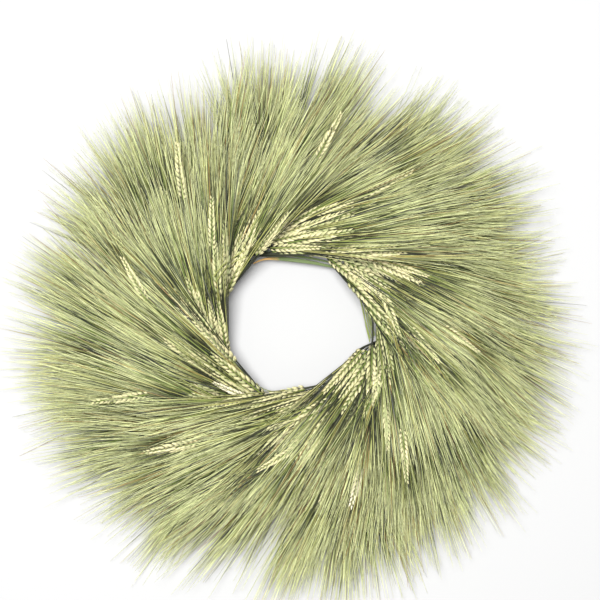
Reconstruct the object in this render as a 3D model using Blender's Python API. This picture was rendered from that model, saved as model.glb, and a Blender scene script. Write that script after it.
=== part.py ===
"""Harvest wreath of bearded wheat, wired bunch by bunch onto a ring frame.

Metres, +Z up. The wreath lies on its back, face up. The origin is on the axis of the frame's
rings, in the plane that the crossbars rest on. Seen from above, the bunches sweep clockwise.

Each bunch is tied in the frame's trough. Its stems run back along the trough, sinking towards the
floor of it, and its ears fan out clockwise, rising over the ties of the bunches that come after.
The rise is one spiral stair for all of them: at any place on the wreath the bunch tied further
back lies higher, by RISE for each station between the ties.
"""

import math

import bmesh
import bpy

MM = 0.001

# Frame: four wire rings in a shallow trough, on bent crossbars.
FRAME_OUTER_R = 127 * MM  # centreline of the outer front ring
TROUGH_WIDTH = 42 * MM  # between the two front rings
FLOOR_WIDTH = 20 * MM  # between the two back rings
TROUGH_DEPTH = 10 * MM  # from the back rings up to the front rings
RING_WIRE_R = 1.1 * MM
CROSSBAR_WIRE_R = 1.1 * MM
WIRE_SIDES = 6  # of a wire's section, with flats above and below
CROSSBAR_COUNT = 6
CROSSBAR_PHASE = 49  # degrees, clear of every tie and of the hanging loop
CROSSBAR_OVERHANG = 1.5 * MM  # past the front rings
WELD_GAP = 0.3 * MM  # between wires that are welded on the real frame
RING_STEPS = 44

# The opening: one side for each station, as (direction of the side's middle in degrees, distance
# from the axis). The station's inner bunch lies along that side.
OPENING_SIDES = (
    (141, 76 * MM),
    (90, 67 * MM),
    (42, 66 * MM),
    (-1, 75 * MM),
    (-43, 60 * MM),
    (-78, 62 * MM),
    (-138, 72 * MM),
    (-179, 74 * MM),
)
TIE_LEAD = 38  # degrees from a side's middle back to its bunch's tie
CORNER_LEAD = 15  # degrees from the tie to where the bunch reaches its side

# Bunches. "tie" is how far past the station the bunch is tied, in stations. "inner_turn" and
# "outer_turn" are the directions of its edge stalks, in degrees outwards from the tangent at the
# tie. "tip_r" is where its awns end.
BUNCHES = {
    "inner": {"tie": 0.0, "inner_turn": -TIE_LEAD, "outer_turn": 12, "tip_r": 205 * MM},
    "outer": {"tie": 0.34, "inner_turn": 32, "outer_turn": 82, "tip_r": 300 * MM},
    "middle": {"tie": 0.68, "inner_turn": 0, "outer_turn": 48, "tip_r": 286 * MM},
}
RISE = 26 * MM  # for each station, at the frame
SLAB_GAP = 2.1 * MM  # between two bunches that lie on each other, at the frame
STEMS_BACK = 0.5  # stations that the stems run back past the tie
TIE_HALF_WIDTH = 13 * MM
STEM_END_HALF_WIDTH = 8 * MM
STEM_CLEARANCE = 0.5 * MM  # above the back rings
RIM_LEVEL = 4 * MM  # height that the stair starts from at the rim
RIM_SHARE = 0.6  # of the rise that is left at the rim
ACROSS = (-1, -0.5, 0, 0.5, 1)  # places across a bunch, from its inner edge to its outer one
ALONG = (0.07, 0.18, 0.34, 0.52, 0.75, 1)  # shares of the way from the bend to the tips

# Binding wire: one length for each station, a turn for each of its bunches.
BINDING_WIRE_R = 0.5 * MM
BINDING_GAP = 0.3 * MM
TURN_DRIFT = 1.2  # degrees that a turn moves on by, so that its end clears its start
TURN_BACK = 2.0  # degrees from the tie back to its turn

# Hanging loop: a hairpin of wire with an eye round the back outer ring at each end.
LOOP_ANGLE = 90
LOOP_WIRE_R = 0.7 * MM
LOOP_HALF_WIDTH = 7.5 * MM
LOOP_LEG = 30 * MM
EYE_CLEARANCE = 0.4 * MM
EYE_PITCH = 1.7 * MM
EYE_STEPS = 12

frame_middle_r = FRAME_OUTER_R - TROUGH_WIDTH / 2
crossbar_offset = RING_WIRE_R + WELD_GAP + CROSSBAR_WIRE_R
back_z = crossbar_offset + CROSSBAR_WIRE_R * math.cos(math.pi / WIRE_SIDES)  # rests on flats
front_z = back_z + TROUGH_DEPTH
TROUGH = (
    (frame_middle_r - TROUGH_WIDTH / 2, front_z),
    (frame_middle_r - FLOOR_WIDTH / 2, back_z),
    (frame_middle_r + FLOOR_WIDTH / 2, back_z),
    (frame_middle_r + TROUGH_WIDTH / 2, front_z),
)
ties = [bunch["tie"] for bunch in BUNCHES.values()] + [1 + BUNCHES["inner"]["tie"]]
slab = RISE * min(b - a for a, b in zip(ties, ties[1:])) - SLAB_GAP
tie_z = max(
    back_z + RING_WIRE_R + STEM_CLEARANCE + RISE * STEMS_BACK,
    front_z + RING_WIRE_R + 2 * BINDING_WIRE_R + 2 * BINDING_GAP,
)
tip_r = max(bunch["tip_r"] for bunch in BUNCHES.values())


def polar(radius, degrees, z=0.0):
    angle = math.radians(degrees)
    return (radius * math.cos(angle), radius * math.sin(angle), z)


def station_angle(station):
    """Direction of a whole-numbered station's tie. Stations count clockwise and go on past a turn."""
    turns, k = divmod(station, len(OPENING_SIDES))
    return OPENING_SIDES[k][0] + TIE_LEAD - 360 * turns


def angle_at(u):
    """Direction at station coordinate u, smooth through the stations and always falling."""
    k = math.floor(u)
    a, b, c, d = (station_angle(k + i) for i in (-1, 0, 1, 2))
    f = u - k
    return b + f * ((c - a) / 2 + f * (a - 2.5 * b + 2 * c - d / 2 + f * (1.5 * (b - c) + (d - a) / 2)))


def station_at(x, y, near):
    """The station coordinate of a place, within half a turn of `near`."""
    wanted = math.degrees(math.atan2(y, x))
    wanted += 360 * round((angle_at(near) - wanted) / 360)
    low, high = near - 4, near + 4
    for _ in range(40):
        middle = (low + high) / 2
        if angle_at(middle) > wanted:
            low = middle
        else:
            high = middle
    return (low + high) / 2


def height(x, y, tie):
    """(underside, top) of the bunch tied at station coordinate `tie`, over a place."""
    radius = math.hypot(x, y)
    share = min(1, max(0, (radius - FRAME_OUTER_R) / (tip_r - FRAME_OUTER_R)))
    share = share * share * (3 - 2 * share)
    level = tie_z + (RIM_LEVEL - tie_z) * share
    thinning = 1 + (RIM_SHARE - 1) * share
    low = level + thinning * RISE * (station_at(x, y, tie) - tie)
    return low, low + thinning * slab


def round_corner(radius, z, distance, start, end, steps=2):
    """(radius, z) points round a ring's section, between two angles in degrees from outwards."""
    points = []
    for i in range(steps + 1):
        angle = math.radians(start + (end - start) * i / steps)
        points.append((radius + distance * math.cos(angle), z + distance * math.sin(angle)))
    return points


def under_the_trough(distance):
    """A line round the back of the trough, that far outside the centrelines of its rings."""
    (r0, z0), (r1, z1), (r2, z2), (r3, z3) = TROUGH
    slope = math.degrees(math.atan2(TROUGH_DEPTH, (TROUGH_WIDTH - FLOOR_WIDTH) / 2))
    inner_end = round_corner(r0, z0, distance, 270 - slope, 270)[0]
    outer_end = round_corner(r3, z3, distance, 270, 270 + slope)[-1]
    floor = round_corner(r1, z1, distance, 270 - slope, 270)
    floor += round_corner(r2, z2, distance, 270, 270 + slope)
    return [inner_end, *floor, outer_end]


def material(name, colour, roughness, metallic=0.0):
    made = bpy.data.materials.new(name)
    made.use_nodes = True
    shader = made.node_tree.nodes["Principled BSDF"]
    shader.inputs["Base Color"].default_value = (*colour, 1)
    shader.inputs["Roughness"].default_value = roughness
    shader.inputs["Metallic"].default_value = metallic
    return made


def add(name, data, finish):
    data.materials.append(finish)
    made = bpy.data.objects.new(name, data)
    bpy.context.scene.collection.objects.link(made)
    return made


def wire(name, points, radius, finish, closed=False, sides=WIRE_SIDES):
    """A round wire along points, with capped ends unless it closes on itself."""
    curve = bpy.data.curves.new(name, "CURVE")
    curve.dimensions = "3D"
    curve.bevel_depth = radius
    curve.bevel_resolution = (sides - 4) // 2
    curve.use_fill_caps = not closed
    spline = curve.splines.new("POLY")
    spline.points.add(len(points) - 1)
    for point, place in zip(spline.points, points):
        point.co = (*place, 1)
    spline.use_cyclic_u = closed
    return add(name, curve, finish)


def rings(finish):
    names = ("front_inner_ring", "back_inner_ring", "back_outer_ring", "front_outer_ring")
    for name, (radius, z) in zip(names, TROUGH):
        points = [polar(radius, 360 * i / RING_STEPS, z) for i in range(RING_STEPS)]
        wire(name, points, RING_WIRE_R, finish, closed=True)


def crossbars(finish):
    profile = under_the_trough(crossbar_offset)
    for end, inner in (0, 1), (-1, -2):
        (r, z), (inner_r, inner_z) = profile[end], profile[inner]
        grow = CROSSBAR_OVERHANG / math.hypot(r - inner_r, z - inner_z)
        profile[end] = (r + (r - inner_r) * grow, z + (z - inner_z) * grow)
    for k in range(CROSSBAR_COUNT):
        angle = CROSSBAR_PHASE + 360 * k / CROSSBAR_COUNT
        points = [polar(radius, angle, z) for radius, z in profile]
        wire(f"crossbar_{k + 1}", points, CROSSBAR_WIRE_R, finish)


def bunch_rows(kind, station):
    """Rows of (x, y) places across one bunch, from the ends of its stems to the tips of its awns."""
    bunch = BUNCHES[kind]
    tie = station + bunch["tie"]
    tie_angle = angle_at(tie)
    rows = []
    for back in (1, 2 / 3, 1 / 3, 0):
        half = TIE_HALF_WIDTH + (STEM_END_HALF_WIDTH - TIE_HALF_WIDTH) * back
        angle = angle_at(tie - STEMS_BACK * back)
        rows.append([polar(frame_middle_r + t * half, angle)[:2] for t in ACROSS])

    starts, heads = [], []
    for (x, y), t in zip(rows[-1], ACROSS):
        turn = bunch["inner_turn"] + (bunch["outer_turn"] - bunch["inner_turn"]) * (t + 1) / 2
        heading = math.radians(tie_angle - 90 + turn)
        starts.append((x, y))
        heads.append((math.cos(heading), math.sin(heading)))
    if kind == "inner":
        starts, heads = along_the_side(station, tie_angle, starts, heads)
        rows.append(starts)
    reach = [reach_to(start, head, bunch["tip_r"]) for start, head in zip(starts, heads)]
    for share in ALONG:
        row = []
        for (x, y), (hx, hy), run in zip(starts, heads, reach):
            row.append((x + hx * run * share, y + hy * run * share))
        rows.append(row)
    return rows


def along_the_side(station, tie_angle, starts, heads):
    """Bends an inner bunch's stalks, so that its inner edge lies along the opening's side."""
    distance = OPENING_SIDES[station][1]
    corner = math.radians(tie_angle - CORNER_LEAD)
    radius = distance / math.cos(math.radians(TIE_LEAD - CORNER_LEAD))
    edge = (radius * math.cos(corner), radius * math.sin(corner))
    run = math.hypot(edge[0] - starts[0][0], edge[1] - starts[0][1])
    shift = [e - s - h * run for e, s, h in zip(edge, starts[0], heads[0])]
    bends = []
    for (x, y), (hx, hy), t in zip(starts, heads, ACROSS):
        share = (1 - t) / 2
        bends.append((x + hx * run + shift[0] * share, y + hy * run + shift[1] * share))
    return bends, heads


def reach_to(start, head, radius):
    """How far a stalk runs from start until it is at a radius."""
    along = start[0] * head[0] + start[1] * head[1]
    return -along + math.sqrt(along * along + radius * radius - start[0] ** 2 - start[1] ** 2)


def bunch(kind, station, finish):
    """One bunch as a closed fan: a top and an underside on the same places, and walls between."""
    tie = station + BUNCHES[kind]["tie"]
    rows = bunch_rows(kind, station)
    shape = bmesh.new()
    under, top = [], []
    for row in rows:
        heights = [height(x, y, tie) for x, y in row]
        under.append([shape.verts.new((x, y, low)) for (x, y), (low, _) in zip(row, heights)])
        top.append([shape.verts.new((x, y, high)) for (x, y), (_, high) in zip(row, heights)])
    for i in range(len(rows) - 1):
        for k in range(len(ACROSS) - 1):
            for grid in (under, top):
                shape.faces.new((grid[i][k], grid[i][k + 1], grid[i + 1][k + 1], grid[i + 1][k]))
    edges = [
        (under[0], top[0]),
        (under[-1], top[-1]),
        ([row[0] for row in under], [row[0] for row in top]),
        ([row[-1] for row in under], [row[-1] for row in top]),
    ]
    for low, high in edges:
        for a, b, c, d in zip(low, low[1:], high[1:], high):
            shape.faces.new((a, b, c, d))
    bmesh.ops.recalc_face_normals(shape, faces=shape.faces)
    mesh = bpy.data.meshes.new(f"{kind}_bunch")
    shape.to_mesh(mesh)
    shape.free()
    mesh.shade_smooth()
    mesh.set_sharp_from_angle(angle=math.radians(35))
    add(f"{kind}_bunch_{station + 1}", mesh, finish)


def binding_turn(tie):
    """(radius, angle, z) points of one turn round the stems and the trough, from the outer ring."""
    angle = angle_at(tie) + TURN_BACK
    over = height(*polar(frame_middle_r, angle)[:2], tie)[1] + SLAB_GAP / 2
    beside = TIE_HALF_WIDTH + BINDING_GAP + BINDING_WIRE_R
    clear = RING_WIRE_R + BINDING_GAP + BINDING_WIRE_R
    (inner_r, inner_z), (outer_r, outer_z) = TROUGH[0], TROUGH[3]
    points = [
        (outer_r, outer_z + clear),
        (frame_middle_r + beside, over - BINDING_WIRE_R),
        (frame_middle_r + beside - 2 * BINDING_WIRE_R, over),
        (frame_middle_r - beside + 2 * BINDING_WIRE_R, over),
        (frame_middle_r - beside, over - BINDING_WIRE_R),
        *round_corner(inner_r, inner_z, clear, 135, 180, 1),
        *under_the_trough(clear),
        *round_corner(outer_r, outer_z, clear, 360, 390, 1),
    ]
    drift = TURN_DRIFT / (len(points) - 1)
    return [(r, angle - drift * (i - 2.5), z) for i, (r, z) in enumerate(points)]


def binding_wire(station, finish):
    """Turn by turn, with a run along the outer front ring between two turns."""
    places = []
    for bunch in BUNCHES.values():
        turn = binding_turn(station + bunch["tie"])
        if places:
            start, (radius, end, z) = places[-1][1], turn[0]
            steps = 1 + int((start - end) / 5)
            places += [(radius, start + (end - start) * i / steps, z) for i in range(1, steps)]
        places += turn
    wire(f"binding_wire_{station + 1}", [polar(*place) for place in places], BINDING_WIRE_R, finish)


def hanging_loop(finish):
    """The loop lies flat and points outwards. Its origin is on the axis that it swings about."""
    back_outer_r = TROUGH[2][0]
    eye_r = RING_WIRE_R + EYE_CLEARANCE + LOOP_WIRE_R
    side = []
    for i in range(EYE_STEPS + 1):
        turn = 2 * math.pi * i / EYE_STEPS
        x = LOOP_HALF_WIDTH + EYE_PITCH * (1 - i / EYE_STEPS)
        side.append((x, -eye_r * math.sin(turn), -eye_r * math.cos(turn)))
    side.append((LOOP_HALF_WIDTH, LOOP_LEG, -eye_r))
    arc = []
    for i in range(1, 8):
        turn = math.pi * i / 8
        arc.append((LOOP_HALF_WIDTH * math.cos(turn), LOOP_LEG + LOOP_HALF_WIDTH * math.sin(turn), -eye_r))
    other = [(-x, y, z) for x, y, z in reversed(side)]
    made = wire("hanging_loop", side + arc + other, LOOP_WIRE_R, finish, sides=8)
    axis_r = math.sqrt(back_outer_r**2 - LOOP_HALF_WIDTH**2)
    made.location = polar(axis_r, LOOP_ANGLE, back_z)
    made.rotation_euler.z = math.radians(LOOP_ANGLE - 90)


def build():
    for old in list(bpy.data.objects):
        bpy.data.objects.remove(old, do_unlink=True)
    frame_wire = material("frame_wire", (0.05, 0.10, 0.06), 0.45, 0.0)
    floral_wire = material("floral_wire", (0.09, 0.17, 0.08), 0.4, 0.0)
    loop_wire = material("loop_wire", (0.55, 0.56, 0.57), 0.35, 1.0)
    wheat = material("wheat", (0.46, 0.52, 0.25), 0.7)
    rings(frame_wire)
    crossbars(frame_wire)
    for station in range(len(OPENING_SIDES)):
        for kind in BUNCHES:
            bunch(kind, station, wheat)
        binding_wire(station, floral_wire)
    hanging_loop(loop_wire)


build()
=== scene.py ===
import math
import random

import bpy
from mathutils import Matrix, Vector
from mathutils.bvhtree import BVHTree


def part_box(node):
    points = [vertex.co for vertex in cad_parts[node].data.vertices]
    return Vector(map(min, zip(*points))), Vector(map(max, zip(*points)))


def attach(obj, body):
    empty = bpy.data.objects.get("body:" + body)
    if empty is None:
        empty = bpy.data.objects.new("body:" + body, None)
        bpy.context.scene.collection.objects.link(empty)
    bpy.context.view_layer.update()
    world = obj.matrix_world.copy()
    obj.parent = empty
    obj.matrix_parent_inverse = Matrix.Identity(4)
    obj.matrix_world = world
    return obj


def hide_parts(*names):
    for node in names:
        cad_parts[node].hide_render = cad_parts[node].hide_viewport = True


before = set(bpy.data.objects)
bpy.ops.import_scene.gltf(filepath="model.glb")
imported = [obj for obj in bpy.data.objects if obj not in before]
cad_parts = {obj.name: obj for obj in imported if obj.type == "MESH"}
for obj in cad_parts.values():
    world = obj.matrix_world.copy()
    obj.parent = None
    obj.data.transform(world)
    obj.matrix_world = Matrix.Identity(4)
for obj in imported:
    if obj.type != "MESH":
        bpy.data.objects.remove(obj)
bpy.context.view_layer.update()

mm = 0.001
sceneRoot = bpy.context.scene.collection


class Wire:
    # a socket that turns Python sums into Math nodes

    def __init__(self, graph, socket):
        self.graph = graph
        self.socket = socket

    def __add__(self, other):
        return self.graph.math("ADD", self, other)

    def __sub__(self, other):
        return self.graph.math("SUBTRACT", self, other)

    def __rsub__(self, other):
        return self.graph.math("SUBTRACT", other, self)

    def __mul__(self, other):
        return self.graph.math("MULTIPLY", self, other)

    def __truediv__(self, other):
        return self.graph.math("DIVIDE", self, other)

    def __pow__(self, other):
        return self.graph.math("POWER", self, other)

    __radd__ = __add__
    __rmul__ = __mul__


def pick(sockets, key):
    # the socket of that name or number, among those that the node's settings leave in use
    usable = [socket for socket in sockets if socket.enabled]
    if isinstance(key, int):
        return usable[key]
    return next(socket for socket in usable if socket.name == key)


class Graph:
    # adds nodes to a shader or a geometry tree

    def __init__(self, tree):
        self.tree = tree

    def node(self, kind, settings=None, inputs=None, out=0):
        # settings come first, because they decide which sockets there are
        made = self.tree.nodes.new(kind)
        for name, value in (settings or {}).items():
            setattr(made, name, value)
        for name, value in (inputs or {}).items():
            socket = pick(made.inputs, name)
            for one in value if isinstance(value, list) else [value]:
                if isinstance(one, Wire):
                    self.tree.links.new(one.socket, socket)
                else:
                    socket.default_value = one
        if out is None:
            return made
        return Wire(self, pick(made.outputs, out))

    def math(self, operation, *values):
        return self.node("ShaderNodeMath", {"operation": operation}, dict(enumerate(values)))

    def clamped(self, value):
        return self.math("MAXIMUM", self.math("MINIMUM", value, 1.0), 0.0)

    def vector(self, x, y, z):
        return self.node("ShaderNodeCombineXYZ", None, {"X": x, "Y": y, "Z": z})

    def split(self, vector):
        made = self.node("ShaderNodeSeparateXYZ", None, {"Vector": vector}, None)
        return [Wire(self, made.outputs[i]) for i in range(3)]

    # shader trees only

    def mixColour(self, share, a, b):
        inputs = {"Factor": share, "A": a, "B": b}
        return self.node("ShaderNodeMix", {"data_type": "RGBA"}, inputs)

    def read(self, name):
        # a number that the geometry tree stored on the mesh
        return self.node("ShaderNodeAttribute", {"attribute_name": name}, None, "Fac")

    def noise(self, scale, detail):
        place = self.node("ShaderNodeTexCoord", None, None, "Object")
        inputs = {"Vector": place, "Scale": scale, "Detail": detail}
        return self.node("ShaderNodeTexNoise", None, inputs)

    def bump(self, strength, depth, height):
        inputs = {"Strength": strength, "Distance": depth, "Height": height}
        return self.node("ShaderNodeBump", None, inputs)

    # geometry trees only

    def attribute(self, name):
        return self.node("GeometryNodeInputNamedAttribute", {"data_type": "FLOAT"}, {"Name": name})

    def store(self, geometry, name, value, domain="POINT"):
        settings = {"data_type": "FLOAT", "domain": domain}
        inputs = {"Geometry": geometry, "Name": name, "Value": value}
        return self.node("GeometryNodeStoreNamedAttribute", settings, inputs)

    def spread(self, low, high, seed):
        # a random number for each element
        inputs = {"Min": low, "Max": high, "Seed": seed}
        return self.node("FunctionNodeRandomValue", {"data_type": "FLOAT"}, inputs)

    def alongCurve(self):
        # 0 at the start of a curve and 1 at its end
        return self.node("GeometryNodeSplineParameter", None, None, "Factor")


def geometryGraph(name, sockets):
    # a new geometry tree with named inputs, and its inputs as wires
    tree = bpy.data.node_groups.new(name, "GeometryNodeTree")
    tree.interface.new_socket("Geometry", in_out="OUTPUT", socket_type="NodeSocketGeometry")
    kinds = {float: "NodeSocketFloat", int: "NodeSocketInt"}
    for label, start in sockets.items():
        kind = kinds.get(type(start)) or start
        made = tree.interface.new_socket(label, in_out="INPUT", socket_type=kind)
        if type(start) in kinds:
            made.default_value = start
    graph = Graph(tree)
    source = tree.nodes.new("NodeGroupInput")
    wires = {socket.name: Wire(graph, socket) for socket in source.outputs if socket.name}
    return graph, wires


def finishTree(graph, geometry, material):
    real = graph.node("GeometryNodeRealizeInstances", None, {"Geometry": geometry})
    inputs = {"Geometry": real, "Material": material}
    done = graph.node("GeometryNodeSetMaterial", None, inputs)
    out = graph.tree.nodes.new("NodeGroupOutput")
    graph.tree.links.new(done.socket, out.inputs[0])
    return graph.tree


def grow(name, mesh, tree, values):
    # runs a geometry tree on a mesh and keeps the result as a plain mesh object
    made = bpy.data.objects.new(name, mesh)
    sceneRoot.objects.link(made)
    modifier = made.modifiers.new(name, "NODES")
    modifier.node_group = tree
    for item in tree.interface.items_tree:
        if item.in_out == "INPUT" and item.name in values:
            modifier[item.identifier] = values[item.name]
    made.update_tag()
    graph = bpy.context.evaluated_depsgraph_get()
    result = bpy.data.meshes.new_from_object(made.evaluated_get(graph), depsgraph=graph)
    made.modifiers.clear()
    made.data = result
    result.name = name
    return made


def shaderGraph(name):
    made = bpy.data.materials.new(name)
    made.use_nodes = True
    made.node_tree.nodes.clear()
    return made, Graph(made.node_tree)


def surface(graph, roughness, colour, metallic=0.0, normal=None):
    # the shader that ends a material
    inputs = {"Base Color": colour, "Roughness": roughness, "Metallic": metallic}
    if normal:
        inputs["Normal"] = normal
    shader = graph.node("ShaderNodeBsdfPrincipled", None, inputs)
    graph.node("ShaderNodeOutputMaterial", None, {"Surface": shader}, None)


# one material for stalks, husks and awns, told apart by the numbers stored on them
wheatLook = {
    "awnGreen": (0.155, 0.22, 0.04, 1),
    "awnStraw": (0.48, 0.465, 0.16, 1),
    "awnOliveAndShade": (0.015, 0.019, 0.009, 1),
    "awnTan": (0.38, 0.24, 0.075, 1),
    "awnGrey": (0.12, 0.125, 0.13, 1),
    "awnTip": (0.90, 0.94, 0.50, 1),
    "awnEnd": (0.34, 0.35, 0.23, 1),
    "huskGreen": (0.265, 0.305, 0.13, 1),
    "huskCream": (0.52, 0.48, 0.275, 1),
    "huskFootShade": (0.03, 0.029, 0.013, 1),
    "huskWhite": (0.64, 0.59, 0.44, 1),
    "roughness": 0.45,  # at its smoothest, and 0.3 more at its roughest
    "deepShade": 0.22,  # how much of its colour the deepest stalk keeps under the painted shade
    "mottleScale": 260.0,
    "bump": 0.35,
    "bumpDepth": 0.4 * mm,
}


def awnColour(graph, along, tone, fleck, ripe):
    look = wheatLook

    def another(turns):
        # a further number for each awn, from 0 to 1
        turned = fleck * turns
        return turned - graph.math("FLOOR", turned)

    # ripe straw or green at the foot, pale further out, greyer at the very end
    awn = graph.mixColour(ripe, look["awnGreen"], look["awnStraw"])
    awn = graph.mixColour(graph.clamped(along * 2.2 - 1.08), awn, look["awnTip"])
    awn = graph.mixColour(graph.clamped(along * 5.0 - 4.2) * 0.7, awn, look["awnEnd"])
    # about one awn in twelve is tan, as many are grey, and most are painted a near-black olive towards the
    # foot, partly their own darker tone and partly painted shade among the crowded awns
    awn = graph.mixColour(graph.clamped(another(13.0) * 14 - 12.8), awn, look["awnTan"])
    awn = graph.mixColour(graph.clamped(another(19.0) * 14 - 12.9), awn, look["awnGrey"])
    dark = graph.clamped(another(7.0) * 4.0 - 1.1)
    return graph.mixColour(dark * 0.97 * graph.clamped(1.6 - along * 1.5), awn, look["awnOliveAndShade"])


def huskColour(graph, along, tone, ripe):
    # green to cream with ripeness, near white on the palest ears, and painted near black at its own foot as
    # the shade between the husks
    look = wheatLook
    husk = graph.mixColour(graph.clamped(ripe * 1.1 + 0.15), look["huskGreen"], look["huskCream"])
    husk = graph.mixColour(graph.clamped(tone * 12.0 - 10.6), husk, look["huskWhite"])
    return graph.mixColour(graph.clamped(1.15 - along * 2.4) * 0.9, husk, look["huskFootShade"])


def wheatMaterial():
    look = wheatLook
    made, graph = shaderGraph("driedWheat")
    ear, along, tone, fleck, share = map(graph.read, ("ear", "along", "tone", "fleck", "share"))
    mottle = graph.noise(look["mottleScale"], 3.0)
    ripe = graph.clamped(tone * 0.7 + fleck * 0.9 - 0.35)
    awn = awnColour(graph, along, tone, fleck, ripe)
    colour = graph.mixColour(ear, awn, huskColour(graph, along, tone, ripe))
    # painted shade: what lies deep in a bunch is painted darker than what lies on top, as if in its shadow,
    # but the awns' outer ends aren't; awns and stems are also painted darker towards the awns' foot, where
    # they crowd
    depth = (1 - graph.clamped(share * 2.2 - 0.2)) * (1 - along * (1 - ear))
    paintedShade = (1 - depth * (1 - look["deepShade"])) * (0.78 + graph.clamped(along + ear) * 0.4)
    # the mottle is the surface's own patchy tone, the rest is painted shade
    mottleAndPaintedShade = (mottle * 0.5 + 0.75) * paintedShade
    inputs = {"Factor": 1.0, "A": colour, "B": graph.vector(mottleAndPaintedShade, mottleAndPaintedShade, mottleAndPaintedShade * 0.96)}
    colour = graph.node("ShaderNodeMix", {"data_type": "RGBA", "blend_type": "MULTIPLY"}, inputs)
    bump = graph.bump(look["bump"], look["bumpDepth"], mottle)
    surface(graph, mottle * 0.3 + look["roughness"], colour, normal=bump)
    return made


wheat = wheatMaterial()
print("wheat material made")


huskShape = {
    "length": 9.2 * mm,
    "radius": 1.75 * mm,
    "tip": 0.08 * mm,
    "flatness": 0.7,
    "sides": 5,
    "rings": 5,
}
earShape = {
    "length": 58 * mm,
    "stem": 0.9 * mm,
    "rowOffset": 1.5 * mm,  # of each of the two rows from the stem, at its foot
    "huskOffset": 0.9 * mm,  # of a spikelet's side husks from its middle one
    "lean": 0.4,  # of a spikelet away from the stem, in radians at the ear's foot
    "leanLoss": 0.24,  # of that, up to the ear's end
    "fan": 0.34,  # between the husks of a spikelet, in radians
}
awnShape = {"radius": 0.53 * mm, "tip": 0.12 * mm, "bow": 3 * mm, "steps": 5, "sides": 3}
beardShape = {
    "awns": 42,
    "reach": 160 * mm,  # from the ear's foot to the awns' usual end
    "start": 4 * mm,  # of the lowest awns, from the ear's foot
    "rowOffset": 2.2 * mm,  # of the awns' two rows from the stem
    "halfDepth": 2.6 * mm,  # of the beard where it leaves the ear
    "shortest": 0.68,  # an awn, as a share of the usual reach
    "longer": 0.44,  # what the longest have on top of that
}
variety = {"ears": 6, "beards": 9}  # how many of each the bunches choose from


def circle(graph, sides):
    inputs = {"Resolution": sides, "Radius": 1.0}
    return graph.node("GeometryNodeCurvePrimitiveCircle", {"mode": "RADIUS"}, inputs, "Curve")


def line(graph, length, count):
    inputs = {"Start": (0, 0, 0), "End": graph.vector(length, 0.0, 0.0)}
    made = graph.node("GeometryNodeCurvePrimitiveLine", None, inputs)
    return graph.node("GeometryNodeResampleCurve", None, {"Curve": made, "Count": count})


def sweep(graph, curve, section, radius):
    inputs = {"Curve": curve, "Profile Curve": section, "Scale": radius, "Fill Caps": True}
    return graph.node("GeometryNodeCurveToMesh", None, inputs)


def huskGeometry(graph, length, radius):
    # a plump pointed scale along X, fullest a third of the way up
    curve = line(graph, length, huskShape["rings"])
    along = graph.alongCurve()
    swell = graph.math("SINE", (along ** 0.62) * 3.0)
    curve = graph.store(curve, "along", along)
    husk = sweep(graph, curve, circle(graph, huskShape["sides"]), swell * radius + huskShape["tip"])
    inputs = {"Geometry": husk, "Scale": (1.0, 1.0, huskShape["flatness"])}
    return graph.node("GeometryNodeTransform", None, inputs)


def earTree():
    # two rows of spikelets on a stem, each of three husks, facing forwards and outwards
    names = {"Spikelets": 20, "Length": earShape["length"], "Husk Length": huskShape["length"]}
    names |= {"Husk Radius": huskShape["radius"], "Seed": 1}
    graph, given = geometryGraph("wheatEar", names)
    count, seed = given["Spikelets"], given["Seed"]
    points = graph.node("GeometryNodeMeshLine", None, {"Count": count * 3})
    index = graph.node("GeometryNodeInputIndex")
    spikelet = graph.math("FLOOR", index / 3)
    part = graph.math("FLOORED_MODULO", index, 3.0) - 1  # the two side husks and the middle one
    side = graph.math("FLOORED_MODULO", spikelet, 2.0) * 2 - 1
    along = spikelet / (count - 1)
    row = side * (1 - along * 0.5) * earShape["rowOffset"]
    place = graph.vector(along * given["Length"], row, part * earShape["huskOffset"])
    points = graph.node("GeometryNodeSetPosition", None, {"Geometry": points, "Position": place})
    lean = earShape["lean"] - earShape["leanLoss"] * along
    yaw = side * lean + graph.spread(-1.0, 1.0, seed) * 0.06
    pitch = part * -earShape["fan"] + graph.spread(-0.1, 0.1, seed + 7)
    turn = graph.vector(graph.spread(-0.5, 0.5, seed + 3), pitch, yaw)
    taper = graph.math("SINE", along ** 0.8 * 2.6 + 0.25) * 0.6 + 0.42
    grown = taper * graph.spread(0.9, 1.12, seed + 5)
    inputs = {
        "Points": points,
        "Instance": huskGeometry(graph, given["Husk Length"], given["Husk Radius"]),
        "Rotation": turn,
        "Scale": graph.vector(grown, grown, grown),
    }
    husks = graph.node("GeometryNodeInstanceOnPoints", None, inputs)
    husks = graph.store(husks, "fleck", graph.spread(0.0, 1.0, seed + 9), "INSTANCE")
    husks = graph.store(husks, "ear", 1.0, "INSTANCE")
    stem = sweep(graph, line(graph, given["Length"], 4), circle(graph, 5), earShape["stem"])
    both = graph.node("GeometryNodeJoinGeometry", None, {"Geometry": [stem, husks]})
    return finishTree(graph, both, wheat)


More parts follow.
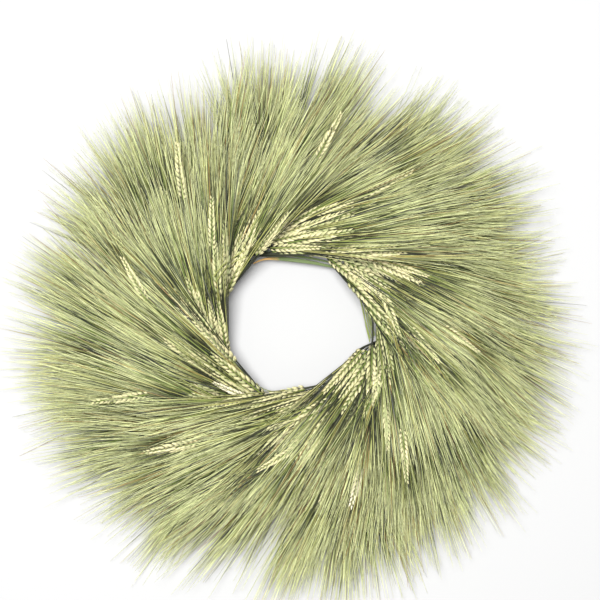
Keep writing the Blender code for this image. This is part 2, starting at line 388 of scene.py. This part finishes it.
def beardTree():
    # the ear's awns: fine and long, spreading to both sides and ending about level
    names = {"Awns": beardShape["awns"], "Length": earShape["length"], "Reach": beardShape["reach"]}
    names |= {"Awn Radius": awnShape["radius"], "Spread": 0.11, "Seed": 1}
    graph, given = geometryGraph("wheatBeard", names)
    count, seed = given["Awns"], given["Seed"]
    points = graph.node("GeometryNodeMeshLine", None, {"Count": count})
    index = graph.node("GeometryNodeInputIndex")
    along = index / (count - 1)
    side = graph.math("FLOORED_MODULO", index, 2.0) * 2 - 1
    height = graph.spread(-beardShape["halfDepth"], beardShape["halfDepth"], seed + 12)
    start = along * given["Length"] + beardShape["start"]
    place = graph.vector(start, side * beardShape["rowOffset"], height)
    points = graph.node("GeometryNodeSetPosition", None, {"Geometry": points, "Position": place})
    # the lower awns stand out further to the side
    outwards = side * given["Spread"] * (1.05 - along * 0.5) * graph.spread(0.0, 1.25, seed)
    yaw = outwards + graph.spread(-0.03, 0.03, seed + 2)
    turn = graph.vector(graph.spread(-3.1, 3.1, seed + 4), graph.spread(-0.16, 0.16, seed + 6), yaw)
    # most awns are short of the longest ones
    longer = graph.spread(0.0, 1.0, seed + 8) ** 2.1 * beardShape["longer"] + beardShape["shortest"]
    reach = (1 - along * given["Length"] / given["Reach"]) * longer
    share = graph.alongCurve()
    curve = line(graph, given["Reach"], awnShape["steps"])
    bow = graph.vector(0.0, share * share * awnShape["bow"], 0.0)
    curve = graph.node("GeometryNodeSetPosition", None, {"Geometry": curve, "Offset": bow})
    curve = graph.store(curve, "along", share)
    radius = (1 - share) ** 0.55 * (given["Awn Radius"] - awnShape["tip"]) + awnShape["tip"]
    inputs = {
        "Points": points,
        "Instance": sweep(graph, curve, circle(graph, awnShape["sides"]), radius),
        "Rotation": turn,
        "Scale": graph.vector(reach, 1.0, 1.0),
    }
    awns = graph.node("GeometryNodeInstanceOnPoints", None, inputs)
    awns = graph.store(awns, "fleck", graph.spread(0.0, 1.0, seed + 10), "INSTANCE")
    awns = graph.store(awns, "ear", 0.0, "INSTANCE")
    return finishTree(graph, awns, wheat)


def growKinds(name, tree, choices):
    # pieces out of sight, one for each choice of values, that the bunches draw on
    kinds = bpy.data.collections.new(name + "s")
    for number, values in enumerate(choices):
        made = grow(f"{name}{number}", bpy.data.meshes.new("seed"), tree, values)
        sceneRoot.objects.unlink(made)
        kinds.objects.link(made)
    return kinds


def earChoices():
    # four lengths and three numbers of spikelets in turn
    for i in range(variety["ears"]):
        length = earShape["length"] * (0.92 + 0.05 * (i % 4))
        yield {"Spikelets": 20 + i % 3 * 2, "Length": length, "Seed": 40 * i}


def beardChoices():
    # three spreads in turn
    for i in range(variety["beards"]):
        yield {"Spread": 0.11 + 0.03 * (i % 3), "Seed": 60 * i + 11}


earKinds = growKinds("ear", earTree(), earChoices())
beardKinds = growKinds("beard", beardTree(), beardChoices())


# the opening's straight sides: direction of the side's middle, and its distance from the axis
openingSides = [
    (141, 80 * mm), (90, 72 * mm), (42, 67 * mm), (-1, 76 * mm),
    (-43, 60 * mm), (-78, 62 * mm), (-138, 72 * mm), (-179, 74 * mm),
]
tieLead = 38  # degrees from where an inner bunch is tied to the middle of its side
cornerLead = 15  # degrees from the same place to the corner where that side starts
stemsBack = 0.5  # how far the stems run back from the tie, in stations
stemsGather = 0.35  # the share by which a bunch is narrower there than at its tie
tieHalfWidth = 11.5 * mm
tipCentre = Vector((-6 * mm, -1 * mm))  # the awns reach furthest to the left
frameMiddle = (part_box("front_outer_ring")[1][0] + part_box("front_inner_ring")[1][0]) / 2

# "tie" is how far on from its station a bunch is tied, in stations; "turns" are the directions of
# the edge stalks from the tangent, outwards, in degrees; "tips" are the distances of the awns' ends
# from the centre at both edges, in mm, and "stagger" the share that the shortest stay back; "inward"
# above 1 crowds the stalks to the inner edge
bunchPlan = {
    "inner": {
        "tie": 0.0, "turns": (-tieLead, 12), "tips": (222, 238),
        "stagger": 0.2, "stalks": 18, "inward": 1.5,
    },
    "outer": {
        "tie": 0.34, "turns": (30, 84), "tips": (302, 302),
        "stagger": 0.09, "stalks": 15, "inward": 1.0,
    },
    "middle": {
        "tie": 0.68, "turns": (0, 48), "tips": (284, 292),
        "stagger": 0.16, "stalks": 13, "inward": 1.0,
    },
}


stalkVariety = {
    "across": 0.45,  # how far stalks stray from even spacing, as a share of it
    "turn": 4,  # degrees either way
    "size": (0.88, 1.1),
    "share": (0.15, 1.0),  # height in the bunch, as a share of its thickness
    "roll": 0.5,  # in radians
    "tone": (0.0, 0.88),
    "leastRun": 3 * mm,  # from a stalk's last bend to its ear
}


def stationAngle(station):
    turns, side = divmod(station, len(openingSides))
    return openingSides[side][0] + tieLead - 360 * turns


def angleAt(station):
    # a smooth curve through the angles of the whole stations
    whole = math.floor(station)
    before, start, end, after = (stationAngle(whole + i) for i in (-1, 0, 1, 2))
    share = station - whole
    bend = before - 2.5 * start + 2 * end - after / 2
    twist = 1.5 * (start - end) + (after - before) / 2
    return start + share * ((end - before) / 2 + share * (bend + share * twist))


def polar(radius, degrees):
    angle = math.radians(degrees)
    return Vector((radius * math.cos(angle), radius * math.sin(angle)))


def unit(angle):
    return Vector((math.cos(angle), math.sin(angle)))


def reachTo(start, ahead, radius):
    # the way from start, straight ahead, to a circle round the centre
    along = start.dot(ahead)
    return -along + math.sqrt(along * along + radius * radius - start.length_squared)


def stalkPath(kind, station, across):
    # a stalk's places from its cut end to its bend, and its heading; across is 0 at the bunch's
    # inner edge and 1 at its outer one
    plan = bunchPlan[kind]
    tie = station + plan["tie"]
    offset = (2 * across - 1) * tieHalfWidth
    path = []
    for back in (1, 0.5, 0):
        radius = frameMiddle + offset * (1 - stemsGather * back)
        path.append(polar(radius, angleAt(tie - stemsBack * back)))
    turn = plan["turns"][0] + (plan["turns"][1] - plan["turns"][0]) * across
    heading = math.radians(angleAt(tie) - 90 + turn)
    if kind == "inner":
        # the inner edge runs along its side of the opening, from corner to corner
        distance = openingSides[station][1]
        corner = distance / math.cos(math.radians(tieLead - cornerLead))
        corner = polar(corner, angleAt(tie) - cornerLead)
        edgeStart = polar(frameMiddle - tieHalfWidth, angleAt(tie))
        run = (corner - edgeStart).length
        edgeHeading = math.radians(angleAt(tie) - 90 + plan["turns"][0])
        shift = corner - edgeStart - unit(edgeHeading) * run
        path.append(path[-1] + unit(heading) * run + shift * (1 - across))
    return path, heading


def dataMesh(name, verts, edges, facts):
    # a mesh of edges whose points carry the numbers in facts
    mesh = bpy.data.meshes.new(name)
    mesh.from_pydata(verts, edges, [])
    for key in facts[0]:
        layer = mesh.attributes.new(key, "FLOAT", "POINT")
        layer.data.foreach_set("value", [fact[key] for fact in facts])
    return mesh


def stalkMesh(kind, station, seed, front):
    # a line of points for each stalk, its last one at the foot of the ear; front ears are single points
    chance = random.Random(seed)
    plan, vary = bunchPlan[kind], stalkVariety
    verts, edges, facts = [], [], []
    for i in range(plan["stalks"]):
        across = (i + 0.5 + chance.gauss(0, vary["across"])) / plan["stalks"]
        across = min(max(across, 0.0), 1.0) ** plan["inward"]
        path, heading = stalkPath(kind, station, across)
        heading += math.radians(chance.uniform(-vary["turn"], vary["turn"]))
        ahead = unit(heading)
        size = chance.uniform(*vary["size"])
        near, far = plan["tips"]
        tips = (near + (far - near) * across) * mm * (1 - plan["stagger"] * chance.random())
        run = reachTo(path[-1] - tipCentre, ahead, tips) - size * beardShape["reach"]
        path.append(path[-1] + ahead * max(run, vary["leastRun"]))
        fact = {
            "heading": heading,
            "size": size,
            "beard": size,
            "share": chance.uniform(*vary["share"]),
            "roll": chance.choice((0, math.pi)) + chance.gauss(0, vary["roll"]),
            "tone": chance.uniform(*vary["tone"]),
            "foot": 0.0,
        }
        first = len(verts)
        verts += [(place.x, place.y, 0) for place in path]
        edges += [(first + k, first + k + 1) for k in range(len(path) - 1)]
        facts += [dict(fact) for _ in path]
        facts[-1]["foot"] = 1.0
    verts += [place for place, _ in front]
    facts += [fact for _, fact in front]
    return dataMesh("stalks", verts, edges, facts)


# ears that lie on top: direction and distance in mm of the ear's foot from the axis, its turn
# outwards from the tangent, size, tone, and its height where it isn't the usual one
frontEars = [
    (-20, 68.5, -23, 0.97, 0.86, 1.5), (-122, 89.5, 6, 0.75, 0.97, 1.35),
    (-118, 79, -12, 1.08, 0.70, 1.3), (158, 83, -4, 1.0, 0.85),
    (135, 87, 24, 1.05, 0.80), (108, 97, 13, 1.0, 0.86), (111, 94, -9, 0.95, 0.82),
    (110, 87, -20, 0.9, 0.84), (66, 77, -14, 0.95, 0.45), (47, 80, 2, 0.6, 0.93),
    (1, 112, 38, 0.8, 0.62), (1, 145, 53, 0.8, 0.72), (-26, 90, 12, 0.84, 0.9),
    (-59, 137, 44, 1.1, 0.95), (-44, 145, 49, 0.9, 0.6), (-41, 116, 44, 0.8, 0.55),
    (-76, 88, 3, 0.95, 0.84), (-67, 71, -7, 1.0, 0.75), (132, 175, 55, 0.98, 0.72),
    (138, 118, 42, 0.85, 0.5), (170, 156, 40, 0.9, 0.8), (-178, 98, 14, 0.95, 0.5),
    (84, 116, 24, 0.8, 0.87), (64, 148, 53, 0.88, 0.85), (84, 172, 68, 0.9, 0.76),
    (37, 112, 33, 0.75, 0.8), (-156, 168, 74, 0.95, 0.6), (-131, 155, 52, 0.95, 0.7),
    (-157, 80, -14, 0.95, 0.5), (-161, 87, -9, 0.95, 0.62), (-168, 93, 0, 0.9, 0.4),
    (22, 85, -14, 0.95, 0.35), (27, 93, -7, 0.95, 0.45), (-24, 86, -11, 0.95, 0.55),
    (-23, 97, -2, 0.95, 0.4), (-62, 80, -2, 0.95, 0.6), (-22, 79, -15, 0.95, 0.5),
    (-116, 87, -6, 1.0, 0.6), (-66, 75, -4, 0.95, 0.68), (-19, 74, -20, 1.0, 0.5),
    (60, 84, -4, 0.9, 0.4), (150, 92, 4, 0.9, 0.6), (-90, 120, 30, 0.85, 0.8),
]
usualHeight = 1.08  # as a share of the bunch's thickness, so just above its top
frontTips = 292  # mm from the centre, where the awns of a front ear usually end at the furthest
frontRoll = 0.3  # in radians


def treeOf(names):
    # the surface of these nodes, for casting rays at
    verts, faces = [], []
    for name in names:
        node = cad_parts[name]
        first = len(verts)
        verts += [tuple(vert.co) for vert in node.data.vertices]
        faces += [[first + i for i in face.vertices] for face in node.data.polygons]
    return BVHTree.FromPolygons(verts, faces)


bunchNames = [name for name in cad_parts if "_bunch_" in name]
bunchTops = {name: treeOf([name]) for name in bunchNames}
bunchSurface = treeOf(bunchNames)


def topAt(tree, place):
    return tree.ray_cast(Vector((place.x, place.y, 1)), Vector((0, 0, -1)))[0]


def frontFeet():
    # the front ears by the bunch that lies topmost at the middle of each
    chance = random.Random(7)
    owned = {name: [] for name in bunchNames}
    for angle, distance, turn, size, tone, *height in frontEars:
        foot = polar(distance * mm, angle)
        heading = math.radians(angle - 90 + turn)
        ahead = unit(heading)
        middle = foot + ahead * size * earShape["length"] * 0.5
        hits = {name: topAt(tree, middle) for name, tree in bunchTops.items()}
        owner = max((name for name in bunchNames if hits[name]), key=lambda name: hits[name].z)
        tips = min(max(bunchPlan[owner.split("_")[0]]["tips"]), frontTips) * mm
        fact = {
            "heading": heading,
            "size": size,
            "beard": min(size, reachTo(foot - tipCentre, ahead, tips) / beardShape["reach"]),
            "share": height[0] if height else usualHeight,
            "roll": chance.gauss(0, frontRoll),
            "tone": tone,
            "foot": 1.0,
        }
        owned[owner].append(((foot.x, foot.y, 0), fact))
    return owned


bunchShape = {
    "stemRadius": 0.85 * mm,
    "stemSides": 5,
    "stemStep": 8 * mm,
    "stemFleck": 0.516,  # ripeness of the stems, on the scale of the awns' own numbers; it also paints them almost wholly the awns' near-black olive, partly painted shade
    "stemAlong": 0.1,  # stems take the colour of an awn's foot
    "earFlatness": 0.8,
    "beardFlatness": 0.5,
    "aboveFloor": 0.6 * mm,  # no stalk lies lower
    "overNearest": 30 * mm,  # past the solid's edge, its point nearest to this height is followed
}


def laid(graph, geometry, solid, flatness):
    # moves points up or down into the solid, at the stalk's share of its thickness
    x, y, z = graph.split(graph.node("GeometryNodeInputPosition"))
    hits = []
    for start, direction in (-1.0, 1.0), (1.0, -1.0):
        inputs = {"Target Geometry": solid, "Source Position": graph.vector(x, y, start)}
        inputs |= {"Ray Direction": (0, 0, direction), "Ray Length": 2.0}
        hits.append(graph.node("GeometryNodeRaycast", None, inputs, None))
    low, high = (graph.split(Wire(graph, pick(hit.outputs, "Hit Position")))[2] for hit in hits)
    inside = low + (high - low) * graph.attribute("share")
    inputs = {0: solid, "Sample Position": graph.vector(x, y, bunchShape["overNearest"])}
    nearest = graph.node("GeometryNodeProximity", None, inputs, "Position")
    isHit = Wire(graph, pick(hits[0].outputs, "Is Hit"))
    inputs = {"Switch": isHit, "False": graph.split(nearest)[2], "True": inside}
    ground = graph.node("GeometryNodeSwitch", {"input_type": "FLOAT"}, inputs)
    height = graph.math("MAXIMUM", ground + z * flatness, bunchShape["aboveFloor"])
    inputs = {"Geometry": geometry, "Position": graph.vector(x, y, height)}
    return graph.node("GeometryNodeSetPosition", None, inputs)


def planted(graph, feet, kinds, size, seed):
    # one of the kinds on each foot, turned to the stalk's heading; numbers past the last kind
    # begin again with the first
    inputs = {"Collection": kinds, "Separate Children": True, "Reset Children": True}
    pieces = graph.node("GeometryNodeCollectionInfo", None, inputs)
    inputs = {"Min": 0, "Max": 40, "Seed": seed}
    which = graph.node("FunctionNodeRandomValue", {"data_type": "INT"}, inputs)
    inputs = {
        "Points": feet,
        "Instance": pieces,
        "Pick Instance": True,
        "Instance Index": which,
        "Rotation": graph.vector(graph.attribute("roll"), 0.0, graph.attribute("heading")),
        "Scale": graph.vector(size, size, size),
    }
    grown = graph.node("GeometryNodeInstanceOnPoints", None, inputs)
    return graph.node("GeometryNodeRealizeInstances", None, {"Geometry": grown})


def bunchTree():
    # ears, beards and stems on a bunch's stalks, laid into the space that its solid keeps
    names = {
        "Stalks": "NodeSocketGeometry",
        "Solid": "NodeSocketObject",
        "Ears": "NodeSocketCollection",
        "Beards": "NodeSocketCollection",
        "Stem Radius": bunchShape["stemRadius"],
        "Beard Flatness": bunchShape["beardFlatness"],
        "Seed": 1,
    }
    graph, given = geometryGraph("wheatBunch", names)
    inputs = {"Object": given["Solid"]}
    solid = graph.node("GeometryNodeObjectInfo", {"transform_space": "RELATIVE"}, inputs, "Geometry")
    foot = graph.math("GREATER_THAN", graph.attribute("foot"), 0.5)
    inputs = {"Geometry": given["Stalks"], "Selection": foot}
    feet = graph.node("GeometryNodeSeparateGeometry", {"domain": "POINT"}, inputs, "Selection")
    ears = planted(graph, feet, given["Ears"], graph.attribute("size"), given["Seed"])
    ears = laid(graph, ears, solid, bunchShape["earFlatness"])
    beards = planted(graph, feet, given["Beards"], graph.attribute("beard"), given["Seed"])
    beards = laid(graph, beards, solid, given["Beard Flatness"])
    stems = graph.node("GeometryNodeMeshToCurve", None, {"Mesh": given["Stalks"]})
    inputs = {"Curve": stems, "Length": bunchShape["stemStep"]}
    stems = graph.node("GeometryNodeResampleCurve", {"mode": "LENGTH"}, inputs)
    stems = laid(graph, stems, solid, 1.0)
    stems = sweep(graph, stems, circle(graph, bunchShape["stemSides"]), given["Stem Radius"])
    stems = graph.store(stems, "fleck", bunchShape["stemFleck"])
    stems = graph.store(stems, "along", bunchShape["stemAlong"])
    whole = graph.node("GeometryNodeJoinGeometry", None, {"Geometry": [ears, beards, stems]})
    return finishTree(graph, whole, wheat)


def keep(piece):
    piece.data.shade_smooth()
    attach(piece, "wreath")


def makeBunches():
    # one piece of wheat for each bunch's solid
    tree = bunchTree()
    owned = frontFeet()
    sizes = []
    for number, kind in enumerate(bunchPlan):
        for station in range(len(openingSides)):
            node = f"{kind}_bunch_{station + 1}"
            seed = 100 * number + station
            stalks = stalkMesh(kind, station, seed, owned[node])
            values = {"Solid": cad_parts[node], "Ears": earKinds, "Beards": beardKinds, "Seed": seed}
            piece = grow(f"wheat_{node}", stalks, tree, values)
            keep(piece)
            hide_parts(node)
            sizes.append(sum(len(face.vertices) - 2 for face in piece.data.polygons))
    print("triangles in the bunches:", sum(sizes), "and in the largest:", max(sizes))


makeBunches()


# leaf blades and straws at the opening: places in mm from the axis, with no height where a straw
# lies on the bunches, and the width in mm at each place
leafBlades = [
    [
        (-48, 66, 13, 1.2), (-36, 70.5, 15, 2.0), (-22, 71.0, 16, 3.6),
        (-4, 69.5, 16, 4.4), (16, 66.5, 16, 3.4), (40, 61.5, 14, 2.4),
    ],
    [
        (-30, 74, 13, 1.0), (-18, 75.0, 14, 1.8), (2, 73.0, 14, 2.2),
        (20, 70.0, 14, 2.0), (38, 66, 12, 1.4),
    ],
]
looseStraws = [
    [(61, 38, 16, 1.5), (65, 24, 17, 1.5), (69, 6, 16, 1.4), (74, -12, 14, 1.3)],
    [(64, 37, 14, 1.3), (68, 22, 15, 1.3), (72, 4, 14, 1.2), (76, -11, 13, 1.1)],
    [(67, 35, 13, 1.4), (71, 20, 14, 1.4), (74, 4, 13, 1.3), (78, -10, 12, 1.2)],
    [(62, 35, 12, 1.1), (67, 18, 13, 1.1), (70, 0, 12, 1.0), (74, -16, 11, 1.0)],
    [(69, 33, 12, 1.2), (73, 16, 13, 1.2), (76, 2, 12, 1.1), (79, -9, 11, 1.0)],
    [(-50, -54, 16, 0.9), (-38, -64, 17, 0.8), (-22, -68, 16, 0.7), (-8, -69, 15, 0.5)],
    [(-86, 52, None, 1.3), (-78, 62, None, 1.2), (-66, 72, None, 1.1), (-56, 78, None, 0.9)],
    [(-84, 46, None, 1.2), (-76, 58, None, 1.1), (-66, 67, None, 1.0), (-54, 72, None, 0.8)],
]
strawShape = {
    "step": 2 * mm,
    "onBunches": 5 * mm,  # height above the bunches' solids
    "bladeFlatness": 0.16,
    "bladeSides": 12,
    "strawSides": 7,
    "strawTip": 0.4,  # straws take the colours of an awn up to here
    "greenTone": 0.45,
    "dryTone": 0.95,  # of the straws that lie on the bunches
    "fleck": 0.29,  # of the first route, and a little more on each further one
    "fleckStep": 0.001,
}


def routeMesh(routes):
    # a line of points for each route, with its width at each
    verts, edges, facts = [], [], []
    for number, route in enumerate(routes):
        first = len(verts)
        edges += [(first + k, first + k + 1) for k in range(len(route) - 1)]
        for x, y, z, width in route:
            if z is None:
                tone = strawShape["dryTone"]
                height = topAt(bunchSurface, Vector((x, y)) * mm).z + strawShape["onBunches"]
            else:
                tone = strawShape["greenTone"]
                height = z * mm
            fleck = strawShape["fleck"] + strawShape["fleckStep"] * number
            verts.append((x * mm, y * mm, height))
            facts.append({"width": width * mm, "fleck": fleck, "tone": tone, "share": 1.0})
    return dataMesh("routes", verts, edges, facts)


def strawTree(name, material):
    # a smooth stalk or blade through the route's places; Flatness squeezes its section
    names = {"Routes": "NodeSocketGeometry", "Flatness": 1.0, "Sides": 8, "Tip Share": 1.0}
    graph, given = geometryGraph(name, names)
    curve = graph.node("GeometryNodeMeshToCurve", None, {"Mesh": given["Routes"]})
    curve = graph.node("GeometryNodeCurveSplineType", {"spline_type": "CATMULL_ROM"}, {"Curve": curve})
    inputs = {"Curve": curve, "Length": strawShape["step"]}
    curve = graph.node("GeometryNodeResampleCurve", {"mode": "LENGTH"}, inputs)
    curve = graph.node("GeometryNodeSetCurveNormal", {"mode": "Z_UP"}, {"Curve": curve})
    curve = graph.store(curve, "along", graph.alongCurve() * given["Tip Share"])
    section = graph.store(circle(graph, given["Sides"]), "round", graph.alongCurve())
    inputs = {"Geometry": section, "Scale": graph.vector(1.0, given["Flatness"], 1.0)}
    section = graph.node("GeometryNodeTransform", None, inputs)
    whole = sweep(graph, curve, section, graph.attribute("width") * 0.5)
    return finishTree(graph, whole, material)


leafLook = {
    "green": (0.075, 0.12, 0.035, 1),
    "vein": (0.24, 0.30, 0.11, 1),
    "dried": (0.66, 0.40, 0.14, 1),
    "roughness": 0.5,
    "veins": 110.0,
    "patchScale": 160.0,
    "bump": 0.4,
    "bumpDepth": 0.3 * mm,
}


def leafMaterial():
    # green with fine lengthwise veins, dried to tan at its first end
    look = leafLook
    made, graph = shaderGraph("leafBlade")
    patches = graph.noise(look["patchScale"], 3.0)
    veins = graph.math("SINE", graph.read("round") * look["veins"]) * 0.5 + 0.5
    colour = graph.mixColour(veins * 0.7, look["green"], look["vein"])
    dried = graph.clamped(2.4 - graph.read("along") * 7.0 + patches * 1.6 - 0.8)
    colour = graph.mixColour(dried, colour, look["dried"])
    bump = graph.bump(look["bump"], look["bumpDepth"], veins)
    surface(graph, patches * 0.2 + look["roughness"], colour, normal=bump)
    return made


def makeBladesAndStraws():
    values = {"Flatness": strawShape["bladeFlatness"], "Sides": strawShape["bladeSides"]}
    tree = strawTree("blades", leafMaterial())
    keep(grow("leaf_blades", routeMesh(leafBlades), tree, values))
    values = {"Sides": strawShape["strawSides"], "Tip Share": strawShape["strawTip"]}
    tree = strawTree("straws", wheat)
    keep(grow("loose_straws", routeMesh(looseStraws), tree, values))


makeBladesAndStraws()
print("blades and straws laid in")


wireLook = {
    "frame": {
        "colour": (0.035, 0.075, 0.04, 1), "worn": (0.10, 0.12, 0.09, 1), "roughness": 0.42, "metallic": 0.0,
    },
    "binding": {
        "colour": (0.06, 0.14, 0.05, 1), "worn": (0.16, 0.2, 0.12, 1), "roughness": 0.36, "metallic": 0.0,
    },
    "loop": {
        "colour": (0.56, 0.57, 0.58, 1), "worn": (0.34, 0.35, 0.36, 1), "roughness": 0.34, "metallic": 1.0,
    },
}
wireGrain = {"patchScale": 90.0, "scale": 1400.0, "bump": 0.3, "bumpDepth": 0.2 * mm}


def wireMaterial(name):
    # painted or bare wire with worn, rougher patches and a fine grain
    look = wireLook[name]
    made, graph = shaderGraph(name + "Wire")
    patches = graph.noise(wireGrain["patchScale"], 4.0)
    grain = graph.noise(wireGrain["scale"], 2.0)
    wear = graph.clamped(patches * 4 - 1.9)
    colour = graph.mixColour(wear, look["colour"], look["worn"])
    bump = graph.bump(wireGrain["bump"], wireGrain["bumpDepth"], grain)
    surface(graph, wear * 0.25 + look["roughness"], colour, look["metallic"], bump)
    return made


def paintNodes(prefixes, material):
    for name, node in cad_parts.items():
        if name.startswith(prefixes):
            node.data.materials.clear()
            node.data.materials.append(material)


paintNodes(("front_", "back_", "crossbar_"), wireMaterial("frame"))
paintNodes("binding_wire_", wireMaterial("binding"))
paintNodes("hanging_loop", wireMaterial("loop"))
print("wires finished")


studio = {
    "floor": (0.45, 0.45, 0.45, 1),
    "floorRoughness": 0.9,
    "floorHalf": 6.0,
    "floorDrop": 0.5 * mm,
    "daylight": 0.36,
    "lampPlace": (-0.25, 0.3, 2.6),
    "lampSize": 1.1,
    "lampPower": 138,
    "cameraPlace": (0.001, 0.028, 1.9),
    "view": 0.62,  # width of what the camera sees, at the height below
    "viewHeight": 0.03,
    "sensor": 36,
}


def makeFloor():
    half = studio["floorHalf"]
    corners = [(-half, -half, 0), (half, -half, 0), (half, half, 0), (-half, half, 0)]
    mesh = bpy.data.meshes.new("floor")
    mesh.from_pydata(corners, [], [(0, 1, 2, 3)])
    floor = bpy.data.objects.new("floor", mesh)
    floor.location.z = -studio["floorDrop"]
    sceneRoot.objects.link(floor)
    made, graph = shaderGraph("paleFloor")
    surface(graph, studio["floorRoughness"], studio["floor"])
    mesh.materials.append(made)


def makeLights():
    world = bpy.data.worlds.new("softWhite")
    world.use_nodes = True
    background = world.node_tree.nodes["Background"].inputs
    background["Color"].default_value = (1, 1, 1, 1)
    background["Strength"].default_value = studio["daylight"]
    bpy.context.scene.world = world
    bpy.context.scene.view_settings.view_transform = "Standard"
    data = bpy.data.lights.new("overhead", "AREA")
    data.shape = "DISK"
    data.size = studio["lampSize"]
    data.energy = studio["lampPower"]
    lamp = bpy.data.objects.new("overhead", data)
    lamp.location = studio["lampPlace"]
    lamp.rotation_euler = (-Vector(studio["lampPlace"])).to_track_quat("-Z", "Y").to_euler()
    sceneRoot.objects.link(lamp)


def makeCamera():
    # straight above, looking down
    data = bpy.data.cameras.new("camera")
    camera = bpy.data.objects.new("camera", data)
    camera.location = studio["cameraPlace"]
    data.sensor_width = studio["sensor"]
    data.lens = studio["sensor"] * (studio["cameraPlace"][2] - studio["viewHeight"]) / studio["view"]
    sceneRoot.objects.link(camera)
    bpy.context.scene.camera = camera


makeFloor()
makeLights()
makeCamera()
print("floor, lights and camera set")
